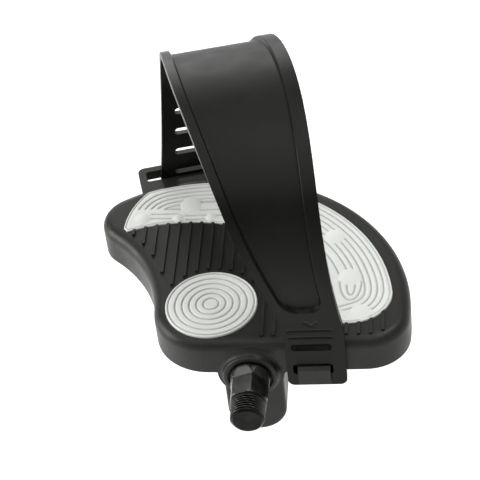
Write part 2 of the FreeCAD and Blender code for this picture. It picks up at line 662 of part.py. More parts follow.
def strap_section(along, rear, front, low, high):
    """Rectangle across the arch at a share of its length.

    rear and front are how far it stays inside the strap's two edges; low and high are
    heights over the strap's middle surface, positive outward.
    """
    t = arch.parameterAtDistance(arch.length() * along) if along > 0 else 0.0
    t = min(t, 1.0)
    point = arch.value(t)
    swell = math.sin(math.pi * along ** 1.13) ** 1.4 if 0 < along < 1 else 0.0
    ease = along - 0.12 * math.sin(2 * math.pi * along) / (2 * math.pi)
    end_half = v("plate_half") + (v("tail_half") - v("plate_half")) * along
    half = end_half + (v("crown_half") - end_half) * swell
    twist = math.tan(math.radians(v("slot_angle"))) * v("tail_half") * along ** 3
    lean = twist + v("arch_skew") * swell
    x = v("strap_x") + (strap_far.x - v("strap_x")) * ease + v("arch_bow") * swell
    across = Vector(half, lean, 0).normalize()
    rise = arch.tangent(t)[0]
    out = across.cross(rise).normalize()
    middle = Vector(x, point.y, point.z)
    left, right = rear - half, half - front
    ring = [middle + across * w + out * h
            for w, h in ((left, low), (right, low), (right, high), (left, high))]
    return Part.makePolygon(ring + ring[:1])


half_thick = v("strap_thick") / 2
steps = 16
arch_band = Part.makeLoft(
    [strap_section(k / steps, 0.0, 0.0, -half_thick, half_thick) for k in range(steps + 1)],
    True, False)
panel_from, panel_to = 0.046, 0.76
panel_steps = 12
panel_band = Part.makeLoft(
    [strap_section(panel_from + (panel_to - panel_from) * k / panel_steps,
                   v("rear_rim"), v("front_rim"), half_thick - v("panel_deep"), half_thick + 2.0)
     for k in range(panel_steps + 1)], True, False)


def plate_with_round(u0, u1, z0, z1, radius, frame):
    """Flat plate with rounded lower corners; frame maps (u, height over middle, z) to space."""
    low = [frame(u0 + radius, -half_thick, z0), frame(u1 - radius, -half_thick, z0)]
    c = radius * (1 - math.sqrt(0.5))
    edges = [
        Part.makeLine(low[0], low[1]),
        Part.Arc(low[1], frame(u1 - c, -half_thick, z0 + c),
                 frame(u1, -half_thick, z0 + radius)).toShape(),
        Part.makeLine(frame(u1, -half_thick, z0 + radius), frame(u1, -half_thick, z1)),
        Part.makeLine(frame(u1, -half_thick, z1), frame(u0, -half_thick, z1)),
        Part.makeLine(frame(u0, -half_thick, z1), frame(u0, -half_thick, z0 + radius)),
        Part.Arc(frame(u0, -half_thick, z0 + radius), frame(u0 + c, -half_thick, z0 + c),
                 low[0]).toShape(),
    ]
    face = Part.Face(Part.Wire(edges))
    return face.extrude(frame(0, half_thick, 0) - frame(0, -half_thick, 0))


def near_frame(u, out, z):
    return Vector(v("strap_x") + u, plate_y - out, z)


def far_frame(u, out, z):
    flat = slot_frame(v("tail_shift") + u, strap_w + out)
    return Vector(flat.x, flat.y, z)


near_plate = plate_with_round(-v("plate_half"), v("plate_half"), v("plate_bottom"),
                              v("arch_start") + 0.3, 3.0, near_frame)
tail_plate = plate_with_round(-v("tail_half"), v("tail_half"), v("tail_bottom"),
                              v("deck_top") + 0.3, 4.0, far_frame)


def slot_block(frame, middle, half, z0, z1):
    """Cutter through the strap between two heights, with a slot's rounded corners."""
    r = min(1.5, (z1 - z0) * 0.45)
    c = r * (1 - math.sqrt(0.5))
    u0, u1 = middle - half, middle + half
    turns = [(u0, z0, 1, 1), (u1, z0, -1, 1), (u1, z1, -1, -1), (u0, z1, 1, -1)]
    edges, last = [], frame(u0, -4.0, z1 - r)
    first = last
    for i, (u, z, su, sz) in enumerate(turns):
        beside, level = frame(u, -4.0, z + sz * r), frame(u + su * r, -4.0, z)
        enter, leave = (beside, level) if i % 2 == 0 else (level, beside)
        edges.append(Part.makeLine(last, enter))
        edges.append(Part.Arc(enter, frame(u + su * c, -4.0, z + sz * c), leave).toShape())
        last = leave
    face = Part.Face(Part.Wire(edges))
    return face.extrude(frame(0, 4.0, z0) - frame(0, -4.0, z0))


slot_half = v("hook_slot_long") / 2
strap_cuts = [
    slot_block(near_frame, v("slot_shift"), slot_half, v(name + "_z"), v(name + "_z") + v(name + "_tall"))
    for name in ("hook_slot", "spare_slot")]


def arch_drift(z):
    """How far along +Y the arch's far leg stands from the tail at height z."""
    low, high = 0.6, 1.0
    for step in range(30):
        t = (low + high) / 2
        low, high = (t, high) if arch.value(t).z > z else (low, t)
    return arch.value(low).y - strap_far.y


for k in range(-1, 5):
    z = v("ladder_z") + k * v("ladder_pitch")
    block = slot_block(far_frame, 0.0, v("ladder_long") / 2, z - v("ladder_tall") / 2,
                       z + v("ladder_tall") / 2)
    drop = max(z - v("deck_top"), 0.0)
    lean = (v("strap_x") - strap_far.x) * 0.4 / arch.length()
    block.translate(Vector(drop * lean, arch_drift(z) if drop > 0 else 0.0, 0))
    strap_cuts.append(block)
strap = doc.addObject("Part::Feature", "strap")
strap.Shape = arch_band.fuse([near_plate, tail_plate]).cut([panel_band] + strap_cuts)
strap.Shape = strap.Shape.removeSplitter()

# Spindle: crank thread, hexagon, inner bearing race, tapered shaft and a stub for the lock nut.
# The hexagon is milled on a round bar, and each flat runs out on a short ramp.
race = d("ball_radius") + d("ball_clear")
hex_corner = d("hex_flats") / math.sqrt(3)
bar_end = d("hex_length") + d("hex_runout") + 0.2
spindle_bar = turned("spindle_bar", [
    (0.0, -d("thread_length")), (d("thread_radius") - d("tip_chamfer"), -d("thread_length")),
    (d("thread_radius"), d("tip_chamfer") - d("thread_length")), (d("thread_radius"), 0.0),
    (hex_corner - 0.7, 0.0), (hex_corner, d("tip_chamfer") * 0.4), (hex_corner, bar_end),
    (d("neck_radius"), bar_end + 0.2),
    (d("neck_radius"), d("inner_ball_y") - race),
    (d("pitch_radius"), d("inner_ball_y") - race,
     d("pitch_radius"), d("inner_ball_y"), -1),
    (d("pitch_radius") - race, d("inner_ball_y")),
    (d("taper_end"), stub_shoulder), (d("stub_radius"), stub_shoulder),
    (d("stub_radius"), spindle_end), (0.0, spindle_end)])
keyway = new_sketch(spindle_bar, "keyway_sketch", "XZ_Plane", -spindle_end)
key_low = v("stub_radius") - v("key_deep")
key_corners = [Vector(sx * v("key_wide") / 2, key_low + rise, 0)
               for sx, rise in ((-1, 0.0), (1, 0.0), (1, 3.0), (-1, 3.0))]
for k in range(4):
    keyway.addGeometry(Part.LineSegment(key_corners[k], key_corners[(k + 1) % 4]), False)
key_cut = spindle_bar.newObject("PartDesign::Pocket", "keyway_cut")
key_cut.Profile = keyway
key_cut.Reversed = True
bind(key_cut, Length=spindle_end - stub_shoulder - 2.0)
spindle_bar.Tip = key_cut


def hexagon(flats, y):
    """Ring of the spindle's hexagon at y, with the given width across its flats."""
    corners = [polar(60.0 * k + v("hex_turn")) * (flats / math.sqrt(3)) for k in range(6)]
    ring = [Vector(p.x, y, p.y) for p in corners]
    return Part.makePolygon(ring + ring[:1])


past_ramp = 1.2
ramp_rise = float(hex_corner) - v("hex_flats") / 2
flats_end = v("hex_length") + past_ramp * v("hex_runout")
hex_core = Part.makeLoft([
    hexagon(v("hex_flats"), 0.0), hexagon(v("hex_flats"), v("hex_length")),
    hexagon(v("hex_flats") + 2 * past_ramp * ramp_rise, flats_end)], True, True)
milled_off = doc.addObject("Part::Feature", "hex_milled_off")
milled_off.Shape = Part.makeCylinder(
    float(hex_corner) + 3.0, flats_end, Vector(0, 0, 0), Vector(0, 1, 0)).cut(hex_core)
spindle = doc.addObject("Part::Cut", "spindle")
spindle.Base = spindle_bar
spindle.Tool = milled_off

# Bearing cups: pressed in the barrel, each with a quarter-round race
cup_in = d("pitch_radius") + race
inner_cup = turned("inner_bearing_cup", [
    (cup_in, d("inner_ball_y") - d("cup_lip")), (d("cup_seat_radius"),
                                                 d("inner_ball_y") - d("cup_lip")),
    (d("cup_seat_radius"), seat_depth), (d("pitch_radius"), seat_depth),
    (d("pitch_radius"), d("inner_ball_y") + race, d("pitch_radius"), d("inner_ball_y"), -1),
    (cup_in, d("inner_ball_y"))])
outer_cup = turned("outer_bearing_cup", [
    (d("pitch_radius"), far_seat), (d("cup_seat_radius"), far_seat),
    (d("cup_seat_radius"), outer_ball_y + d("cup_lip")),
    (cup_in, outer_ball_y + d("cup_lip")),
    (cup_in, outer_ball_y, d("pitch_radius"), outer_ball_y, -1),
    (d("pitch_radius"), outer_ball_y - race)])


def ball_ring(label, y):
    """Ring of bearing balls about the spindle, as one group."""
    balls = []
    count = int(v("ball_count"))
    for k in range(count):
        ball = doc.addObject("Part::Sphere", "%s_%d" % (label, k))
        bind(ball, Radius=d("ball_radius"))
        place = polar(360.0 * k / count) * v("pitch_radius")
        ball.Placement = Placement(Vector(place.x, float(y), place.y), Rotation())
        balls.append(ball)
    group = doc.addObject("Part::Compound", label)
    group.Links = balls
    return group


inner_balls = ball_ring("inner_bearing_balls", d("inner_ball_y"))
outer_balls = ball_ring("outer_bearing_balls", outer_ball_y)

# Outer cone, keyed washer and lock nut on the spindle's stub
cone_end = outer_ball_y + d("cone_length")
outer_cone = turned("outer_cone", [
    (d("stub_radius"), stub_shoulder + 1.5), (d("pitch_radius") - race, stub_shoulder + 1.5),
    (d("pitch_radius") - race, outer_ball_y, d("pitch_radius"), outer_ball_y, -1),
    (d("pitch_radius"), outer_ball_y + race), (d("pitch_radius"), cone_end),
    (d("stub_radius"), cone_end)])
washer_ring = turned("washer_ring", [
    (d("stub_radius"), cone_end), (d("washer_radius"), cone_end),
    (d("washer_radius"), cone_end + d("washer_thick")),
    (d("stub_radius"), cone_end + d("washer_thick"))])
key_tongue = box("key_tongue", d("key_wide") * -0.45, cone_end,
                 d("stub_radius") - d("key_deep") + 0.1, d("key_wide") * 0.9, d("washer_thick"),
                 d("key_deep") + 0.5)
keyed_washer = doc.addObject("Part::MultiFuse", "keyed_washer")
keyed_washer.Shapes = [washer_ring, key_tongue]
nut_face = cone_end + d("washer_thick")
lock_nut = new_body("lock_nut")
nut_sketch = new_sketch(lock_nut, "nut_section", "XZ_Plane", -nut_face)
nut_ring = [polar(60.0 * k) * (v("nut_flats") / math.sqrt(3)) for k in range(6)]
for k in range(6):
    nut_sketch.addGeometry(Part.LineSegment(nut_ring[k], nut_ring[(k + 1) % 6]), False)
nut_sketch.addGeometry(Part.Circle(Vector(0, 0, 0), Vector(0, 0, 1), v("stub_radius")), False)
nut_pad = lock_nut.newObject("PartDesign::Pad", "nut_pad")
nut_pad.Profile = nut_sketch
nut_pad.Reversed = True
bind(nut_pad, Length=d("nut_thick"))
lock_nut.Tip = nut_pad

# Dust seal in the collar's mouth and the cap on the barrel's far end
seal_y = d("collar_face") + d("seal_set")
inner_seal = turned("inner_seal", [
    (d("neck_radius") + d("seal_clear"), seal_y), (d("cup_seat_radius"), seal_y),
    (d("cup_seat_radius"), seal_y + d("seal_thick")),
    (d("neck_radius") + d("seal_clear"), seal_y + d("seal_thick"))])
end_cap = turned("end_cap", [
    (0.0, barrel_end), (d("cup_seat_radius") - d("cap_wall"), barrel_end),
    (d("cup_seat_radius") - d("cap_wall"), barrel_end - d("cap_plug")),
    (d("cup_seat_radius"), barrel_end - d("cap_plug")),
    (d("cup_seat_radius"), barrel_end), (d("barrel_radius"), barrel_end),
    (d("barrel_radius"), barrel_end + d("cap_flange") - 0.8),
    (d("barrel_radius") - 1.2, barrel_end + d("cap_flange")),
    (0.0, barrel_end + d("cap_flange"))])

# Counterweight in the keel and the plug that closes its pocket
slug_half = pocket_half - v("slug_clear")
counterweight, slug_pad = keel_body(
    "counterweight", slug_half, v("keel_bottom") + v("keel_wall") + v("slug_clear"),
    v("keel_roof") - v("slug_clear"), d("keel_face") + d("keel_wall"), d("slug_length"))
keel_far = d("keel_face") + d("keel_length")
plug_flange, flange_pad = keel_body("plug_flange_plate", keel_half, v("keel_bottom"),
                                    -v("barrel_radius") - v("slug_clear"), keel_far, d("plug_flange"))
plug_spigot, spigot_pad = keel_body(
    "plug_spigot", slug_half, v("keel_bottom") + v("keel_wall") + v("slug_clear"),
    v("keel_roof") - v("slug_clear"), keel_far - d("plug_depth"), d("plug_depth") + 0.5)
keel_plug = doc.addObject("Part::MultiFuse", "keel_plug")
keel_plug.Shapes = [plug_flange, plug_spigot]

NODES = {
    "pedal_body": pedal_body, "round_tread_pad": round_pad, "crescent_tread_pad": crescent_tread,
    "strap": strap, "spindle": spindle, "inner_seal": inner_seal, "inner_bearing_cup": inner_cup,
    "inner_bearing_balls": inner_balls, "outer_bearing_cup": outer_cup,
    "outer_bearing_balls": outer_balls, "outer_cone": outer_cone, "keyed_washer": keyed_washer,
    "lock_nut": lock_nut, "end_cap": end_cap, "counterweight": counterweight,
    "keel_plug": keel_plug,
}
doc.recompute()
for obj in doc.Objects:
    if "Invalid" in obj.State or "Error" in obj.State:
        raise RuntimeError("%s did not build: %s" % (obj.Label, obj.State))
for label, obj in NODES.items():
    obj.Label = label
    if obj.Shape.isNull() or not obj.Shape.isValid():
        raise RuntimeError("%s has no valid solid" % label)

os.makedirs("parts", exist_ok=True)
for label, obj in NODES.items():
    obj.Shape.exportStep(os.path.join("parts", label + ".step"))
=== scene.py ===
import math

import bmesh
import bpy
import numpy as np
from mathutils import Matrix


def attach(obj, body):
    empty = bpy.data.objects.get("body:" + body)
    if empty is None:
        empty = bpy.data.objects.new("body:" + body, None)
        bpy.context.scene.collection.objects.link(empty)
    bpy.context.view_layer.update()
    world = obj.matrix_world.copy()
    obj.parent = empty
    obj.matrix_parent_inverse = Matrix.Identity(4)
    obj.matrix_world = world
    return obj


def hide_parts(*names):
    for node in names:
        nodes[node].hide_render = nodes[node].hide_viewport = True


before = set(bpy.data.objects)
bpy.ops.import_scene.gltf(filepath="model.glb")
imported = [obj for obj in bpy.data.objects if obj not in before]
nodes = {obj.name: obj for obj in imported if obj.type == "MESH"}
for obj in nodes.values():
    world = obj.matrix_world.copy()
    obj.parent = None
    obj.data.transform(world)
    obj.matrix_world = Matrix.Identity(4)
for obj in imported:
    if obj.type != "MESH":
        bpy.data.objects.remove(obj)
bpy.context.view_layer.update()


# Spindle: one bar of steel, turned and oiled over a black oxide skin. A left-hand crank thread
# is rolled on its end, the hexagon for a 15 mm spanner is milled behind it, and the bare shaft
# runs on through the barrel. The crests and corners are rubbed to paler steel.
thread_radius, thread_pitch, thread_depth = 7.14, 1.27, 0.7
hex_apothem, hex_turn, hex_length, ramp_length = 7.5, math.radians(19.0), 9.8, 5.5


def cell_faces(rows, columns, join_columns=False):
    """Faces of a grid of points: each cell of four neighbours is one face, and join_columns
    carries the last column round to the first."""
    i = np.arange(rows - 1)
    j = np.arange(columns if join_columns else columns - 1)
    a, b = np.meshgrid(i, j, indexing="ij")
    c = (b + 1) % columns
    corners = [a * columns + b, a * columns + c, (a + 1) * columns + c, (a + 1) * columns + b]
    return np.stack(corners, -1).reshape(-1, 4)


def new_piece(name, points, faces, crease=35.0, **marks):
    """Object from points in millimetres. Points that meet are merged, so seams and poles close,
    and faces are turned outwards. Each mark is a value per point that the finish reads."""
    mesh = bpy.data.meshes.new(name)
    mesh.from_pydata((np.asarray(points) / 1000.0).tolist(), [], faces.tolist())
    for label, values in marks.items():
        mesh.attributes.new(label, "FLOAT", "POINT").data.foreach_set(
            "value", np.asarray(values, np.float32).ravel())
    shell = bmesh.new()
    shell.from_mesh(mesh)
    bmesh.ops.remove_doubles(shell, verts=shell.verts, dist=2e-6)
    bmesh.ops.dissolve_degenerate(shell, edges=shell.edges, dist=1e-7)
    bmesh.ops.recalc_face_normals(shell, faces=shell.faces)
    shell.to_mesh(mesh)
    shell.free()
    mesh.polygons.foreach_set("use_smooth", np.ones(len(mesh.polygons), bool))
    mesh.set_sharp_from_angle(angle=math.radians(crease))
    piece = bpy.data.objects.new(name, mesh)
    bpy.context.scene.collection.objects.link(piece)
    return piece


def ease(low, high, value):
    """Smooth step from 0 at low to 1 at high."""
    t = np.clip((value - low) / (high - low), 0.0, 1.0)
    return t * t * (3.0 - 2.0 * t)


def spindle_surface():
    """Turned surface: a radius for each height along the axis and each angle round it. The
    thread takes a helical wave off the bar. The hexagon cuts the radius to
    apothem / cos(angle from the middle of its flat), and the apothem grows along the ramp
    until the flat runs out on the round bar."""
    tip_length, tip_radius, flats_end = 9.5, 5.94, 15.6
    neck, seat, race, race_rim, race_middle = 7.4, 20.965, 2.035, 7.0, 23.0
    stub, end = 103.0, 119.5
    bar = hex_apothem * 2.0 / math.sqrt(3.0)
    turn = np.linspace(-np.pi / 2, 0.0, 9)[1:]
    thread = np.arange(0.1, tip_length - 0.05, 0.1)
    ramp = hex_length + np.linspace(0.0, ramp_length + 0.2, 31)
    hexagon = np.concatenate([[0.48], np.linspace(1.5, 9.2, 5), [9.6], ramp])
    height = np.concatenate([
        [-tip_length] * 3, thread - tip_length, [0.0, 0.0], hexagon,
        [flats_end + 0.1, 17.5, seat, seat], race_middle + race * np.sin(turn),
        [40.0, 60.0, 80.0, stub, stub, end - 0.5, end, end]])
    line = np.concatenate([
        [0.0, 3.0, tip_radius], np.minimum(tip_radius + thread, thread_radius),
        [thread_radius, bar - 0.7], np.full(len(hexagon), bar), [neck, neck, neck, race_rim],
        race_rim - race * np.cos(turn),
        [4.91, 4.85, 4.78, 4.7, 4.0, 4.0, 3.5, 0.0]])
    angle = np.linspace(0.0, 2 * np.pi, 181)[:-1] + hex_turn
    y, a = np.meshgrid(height, angle, indexing="ij")
    r = np.repeat(line[:, None], len(angle), 1)
    phase = (y / thread_pitch - a / (2 * np.pi)) % 1.0
    root, flank = 0.14, 0.72
    crest = np.clip((np.abs(2.0 * phase - 1.0) - root) / flank, 0.0, 1.0)
    fade = ease(-0.2, -1.3, y)
    rolled = thread_radius - thread_depth * (1.0 - crest) * fade
    r = np.where(y < 0.0, np.minimum(r, rolled), r)
    apothem = hex_apothem + (bar - hex_apothem) * np.clip(y - hex_length, 0.0, None) / ramp_length
    flat = apothem / np.cos((a - hex_turn) % (np.pi / 3) - np.pi / 6)
    on_hexagon = (y >= 0.0) & (y < flats_end)
    r = np.where(on_hexagon, np.minimum(r, flat), r)
    corners = ease(8.2, 8.6, r) * ease(11.0, 8.0, y)
    wear = np.where(y < 0.0, 0.5 * crest ** 4 * ease(6.7, 7.1, r), corners)
    milled = np.where(on_hexagon, 1.0, 0.0)
    points = np.stack([r * np.cos(a), y, r * np.sin(a)], -1)
    faces = cell_faces(len(height), len(angle), True)
    return points.reshape(-1, 3), faces, dict(wear=wear, milled=milled)


spindle_points, spindle_faces, spindle_marks = spindle_surface()
spindle = new_piece("spindle_bar", spindle_points, spindle_faces, 28.0, **spindle_marks)


def open_group(name, output, **inputs):
    """New node group with named sockets. Gives the group, its input node and its output node."""
    group = bpy.data.node_groups.new(name, "ShaderNodeTree")
    for label, start in inputs.items():
        kind = "NodeSocketVector" if isinstance(start, tuple) else "NodeSocketFloat"
        socket = group.interface.new_socket(label, in_out="INPUT", socket_type=kind)
        socket.default_value = start
    group.interface.new_socket(output, in_out="OUTPUT", socket_type="NodeSocketFloat")
    return group, group.nodes.new("NodeGroupInput"), group.nodes.new("NodeGroupOutput")


def mottle_group():
    """Soft cloudy value over the piece's own coordinates, from Low to High."""
    group, inside, outside = open_group(
        "surface_mottle", "Value", Scale=60.0, Detail=4.0, Low=0.0, High=1.0)
    where = group.nodes.new("ShaderNodeTexCoord")
    cloud = group.nodes.new("ShaderNodeTexNoise")
    spread = group.nodes.new("ShaderNodeMapRange")
    spread.inputs["From Min"].default_value = 0.3
    spread.inputs["From Max"].default_value = 0.7
    group.links.new(where.outputs["Object"], cloud.inputs["Vector"])
    group.links.new(inside.outputs["Scale"], cloud.inputs["Scale"])
    group.links.new(inside.outputs["Detail"], cloud.inputs["Detail"])
    group.links.new(cloud.outputs["Fac"], spread.inputs["Value"])
    group.links.new(inside.outputs["Low"], spread.inputs["To Min"])
    group.links.new(inside.outputs["High"], spread.inputs["To Max"])
    group.links.new(spread.outputs["Result"], outside.inputs["Value"])
    return group


def scratch_group():
    """Mask of fine hair lines: a noise stretched along one way and kept only at its peaks."""
    group, inside, outside = open_group(
        "hair_scratches", "Mask", Stretch=(1.0, 1.0, 1.0), Amount=0.3)
    where = group.nodes.new("ShaderNodeTexCoord")
    pull = group.nodes.new("ShaderNodeVectorMath")
    pull.operation = "MULTIPLY"
    grain = group.nodes.new("ShaderNodeTexNoise")
    grain.inputs["Scale"].default_value = 1.0
    grain.inputs["Detail"].default_value = 3.0
    peaks = group.nodes.new("ShaderNodeMapRange")
    peaks.inputs["From Min"].default_value = 0.6
    peaks.inputs["From Max"].default_value = 0.72
    group.links.new(where.outputs["Object"], pull.inputs[0])
    group.links.new(inside.outputs["Stretch"], pull.inputs[1])
    group.links.new(pull.outputs["Vector"], grain.inputs["Vector"])
    group.links.new(grain.outputs["Fac"], peaks.inputs["Value"])
    group.links.new(inside.outputs["Amount"], peaks.inputs["To Max"])
    group.links.new(peaks.outputs["Result"], outside.inputs["Mask"])
    return group


surface_mottle = mottle_group()
hair_scratches = scratch_group()


class Finish:
    """A material with its shader, and short words for the nodes that drive it."""

    def __init__(self, name, **plain):
        self.material = bpy.data.materials.new(name)
        self.material.use_nodes = True
        self.tree = self.material.node_tree
        self.shader = self.tree.nodes["Principled BSDF"]
        for label, value in plain.items():
            self.shader.inputs[label.replace("_", " ")].default_value = value

    def group(self, group, **values):
        """Output of a node group with its sockets set."""
        node = self.tree.nodes.new("ShaderNodeGroup")
        node.node_tree = group
        for label, value in values.items():
            node.inputs[label].default_value = value
        return node.outputs[0]

    def mark(self, label):
        """Value that each point of the piece carries under this label."""
        node = self.tree.nodes.new("ShaderNodeAttribute")
        node.attribute_name = label
        return node.outputs["Fac"]

    def mix(self, share, first, second):
        """Colour that goes from first to second as share goes from 0 to 1."""
        node = self.tree.nodes.new("ShaderNodeMix")
        node.data_type = "RGBA"
        self.tree.links.new(share, node.inputs["Factor"])
        for socket, colour in zip((node.inputs[6], node.inputs[7]), (first, second)):
            if isinstance(colour, tuple):
                socket.default_value = (*colour, 1.0)
            else:
                self.tree.links.new(colour, socket)
        return node.outputs[2]

    def sums(self, operation, first, second):
        """One step of arithmetic on two outputs or numbers."""
        node = self.tree.nodes.new("ShaderNodeMath")
        node.operation = operation
        for socket, value in zip(node.inputs, (first, second)):
            if isinstance(value, float):
                socket.default_value = value
            else:
                self.tree.links.new(value, socket)
        return node.outputs[0]

    def feed(self, output, label):
        self.tree.links.new(output, self.shader.inputs[label])

    def bump(self, height, strength, distance):
        """Fine relief on the shader's normal, its distance in metres."""
        node = self.tree.nodes.new("ShaderNodeBump")
        node.inputs["Strength"].default_value = strength
        node.inputs["Distance"].default_value = distance
        self.tree.links.new(height, node.inputs["Height"])
        self.tree.links.new(node.outputs["Normal"], self.shader.inputs["Normal"])

    def put_on(self, *pieces):
        for piece in pieces:
            piece.data.materials.clear()
            piece.data.materials.append(self.material)


black_oxide = Finish("black_oxide_steel", Metallic=1.0)
oxide_tone = black_oxide.mix(black_oxide.group(surface_mottle, Scale=160.0, Detail=5.0),
                             (0.01, 0.01, 0.0096), (0.022, 0.022, 0.0212))
oxide_tone = black_oxide.mix(black_oxide.mark("milled"), oxide_tone, (0.145, 0.145, 0.14))
oxide_tone = black_oxide.mix(black_oxide.mark("wear"), oxide_tone, (0.17, 0.17, 0.165))
black_oxide.feed(oxide_tone, "Base Color")
oxide_rough = black_oxide.group(surface_mottle, Scale=420.0, Detail=3.0, Low=0.26, High=0.42)
black_oxide.feed(oxide_rough, "Roughness")
black_oxide.bump(black_oxide.group(surface_mottle, Scale=2600.0, Detail=2.0), 0.12, 0.0002)
black_oxide.put_on(spindle)
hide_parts("spindle")
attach(spindle, "spindle")


# Bearings: hardened and ground races pressed in the barrel, a ring of balls in each, and the
# outer cone held on the stub by a keyed washer and a nut. All bright steel under a film of grease.
bearing_steel = Finish("ground_bearing_steel", Metallic=1.0)
bearing_tone = bearing_steel.mix(bearing_steel.group(surface_mottle, Scale=240.0),
                                 (0.52, 0.52, 0.53), (0.66, 0.66, 0.66))
bearing_steel.feed(bearing_tone, "Base Color")
bearing_rough = bearing_steel.group(surface_mottle, Scale=700.0, Low=0.16, High=0.3)
bearing_steel.feed(bearing_rough, "Roughness")
bearing_steel.put_on(*[nodes[name] for name in (
    "inner_bearing_cup", "outer_bearing_cup", "inner_bearing_balls", "outer_bearing_balls",
    "outer_cone", "keyed_washer", "lock_nut")])


# Dust seal: a soft black rubber ring pressed in the collar's mouth, just clear of the spindle. It
# keeps grit off the inner ring of balls.
seal_rubber = Finish("seal_rubber", Specular_IOR_Level=0.3)
seal_tone = seal_rubber.mix(seal_rubber.group(surface_mottle, Scale=300.0),
                            (0.012, 0.012, 0.012), (0.024, 0.024, 0.023))
seal_rubber.feed(seal_tone, "Base Color")
seal_rough = seal_rubber.group(surface_mottle, Scale=900.0, Low=0.55, High=0.7)
seal_rubber.feed(seal_rough, "Roughness")
seal_rubber.put_on(nodes["inner_seal"])


# Platform: one moulding of black filled nylon with the deck, its ridges, the skirt, the barrel,
# the keel and the strap's hooks. The tool's spark texture leaves it satin, with a fine grain.
def grain_group():
    """Fine spark grain of a moulding tool: small cells laid over a finer noise."""
    group, inside, outside = open_group("spark_grain", "Height", Scale=1500.0)
    where = group.nodes.new("ShaderNodeTexCoord")
    pits = group.nodes.new("ShaderNodeTexVoronoi")
    pits.feature = "SMOOTH_F1"
    dust = group.nodes.new("ShaderNodeTexNoise")
    dust.inputs["Detail"].default_value = 2.0
    join = group.nodes.new("ShaderNodeMath")
    join.operation = "ADD"
    group.links.new(where.outputs["Object"], pits.inputs["Vector"])
    group.links.new(where.outputs["Object"], dust.inputs["Vector"])
    group.links.new(inside.outputs["Scale"], pits.inputs["Scale"])
    group.links.new(inside.outputs["Scale"], dust.inputs["Scale"])
    group.links.new(pits.outputs["Distance"], join.inputs[0])
    group.links.new(dust.outputs["Fac"], join.inputs[1])
    group.links.new(join.outputs[0], outside.inputs["Height"])
    return group


spark_grain = grain_group()
body_plastic = Finish("satin_black_nylon", Specular_IOR_Level=0.27,
                      Specular_Tint=(1.0, 1.0, 0.93, 1.0))
body_tone = body_plastic.mix(body_plastic.group(surface_mottle, Scale=45.0, Detail=5.0),
                             (0.013, 0.0132, 0.0118), (0.019, 0.0192, 0.0174))
body_scuffs = body_plastic.group(hair_scratches, Stretch=(900.0, 60.0, 300.0), Amount=0.25)
body_plastic.feed(body_plastic.mix(body_scuffs, body_tone, (0.042, 0.042, 0.039)), "Base Color")
body_rough = body_plastic.group(surface_mottle, Scale=120.0, Low=0.34, High=0.46)
body_plastic.feed(body_rough, "Roughness")
body_plastic.bump(body_plastic.group(spark_grain, Scale=1700.0), 0.18, 0.0002)
body_plastic.put_on(nodes["pedal_body"], nodes["end_cap"], nodes["keel_plug"])


# Counterweight: a rough iron casting shut in the keel by a plug, so that the strap stays on top
# when no foot is on the pedal.
slug_iron = Finish("cast_slug_iron", Metallic=0.8)
slug_tone = slug_iron.mix(slug_iron.group(surface_mottle, Scale=90.0, Detail=6.0),
                          (0.08, 0.078, 0.075), (0.17, 0.165, 0.16))
slug_iron.feed(slug_tone, "Base Color")
slug_rough = slug_iron.group(surface_mottle, Scale=400.0, Low=0.5, High=0.75)
slug_iron.feed(slug_rough, "Roughness")
slug_iron.bump(slug_iron.group(spark_grain, Scale=700.0), 0.5, 0.0006)
slug_iron.put_on(nodes["counterweight"])


# Round tread pad: a disc of light grey rubber let into the deck under the heel of the foot, held
# by pegs, with ring grooves for grip.
heel = np.array([-17.0, 42.7])
round_centre = heel + (0.35, -1.0)
deck_top, recess_floor = 16.5, 14.9
groove_half = 0.36


def round_pad_surface():
    """Disc turned about its centre: its height over the radius is flat, less one rounded
    groove at each ring, and it falls away over a small round at the rim."""
    radius, top, rim = 19.5, 17.4, 0.6
    ring_start, ring_step, ring_count, ring_depth = 0.3, 3.0, 6, 0.5
    flat_end = radius - rim
    bend = np.linspace(0.1, 1.57, 7)
    r = np.concatenate([np.linspace(0.0, flat_end, 211), flat_end + rim * np.sin(bend)])
    turn = np.clip(np.round((r - ring_start) / ring_step), 1, ring_count)
    ring = ring_start + ring_step * turn
    groove = np.exp(-((r - ring) / groove_half) ** 2)
    past = np.clip(r - flat_end, 0.0, None)
    fall = rim - np.sqrt(np.clip(rim ** 2 - past ** 2, 0.0, None))
    z = top - ring_depth * groove - fall
    r = np.concatenate([r, [radius, 0.0]])
    z = np.concatenate([z, [recess_floor, recess_floor]])
    angle = np.linspace(0.0, 2 * np.pi, 193)[:-1]
    a, rr = np.meshgrid(angle, r, indexing="ij")
    x, y = round_centre[0] + rr * np.cos(a), round_centre[1] + rr * np.sin(a)
    points = np.stack([x, y, np.broadcast_to(z, rr.shape)], -1).transpose(1, 0, 2)
    # Darkness along each groove for the finish: partly dirt packed in, partly painted shade in the
    # hollow.
    groove_dirt_and_shade = np.repeat(np.concatenate([groove, [0.0, 0.0]])[:, None], len(angle), 1)
    return points.reshape(-1, 3), cell_faces(len(r), len(angle), True), groove_dirt_and_shade


round_points, round_faces, round_groove_dirt_and_shade = round_pad_surface()
round_pad = new_piece("round_pad_rubber", round_points, round_faces, 50.0, groove=round_groove_dirt_and_shade)
tread_rubber = Finish("light_grey_tread", Specular_IOR_Level=0.4)
tread_tone = tread_rubber.mix(tread_rubber.group(surface_mottle, Scale=70.0, Detail=5.0),
                              (0.735, 0.75, 0.72), (0.78, 0.795, 0.765))
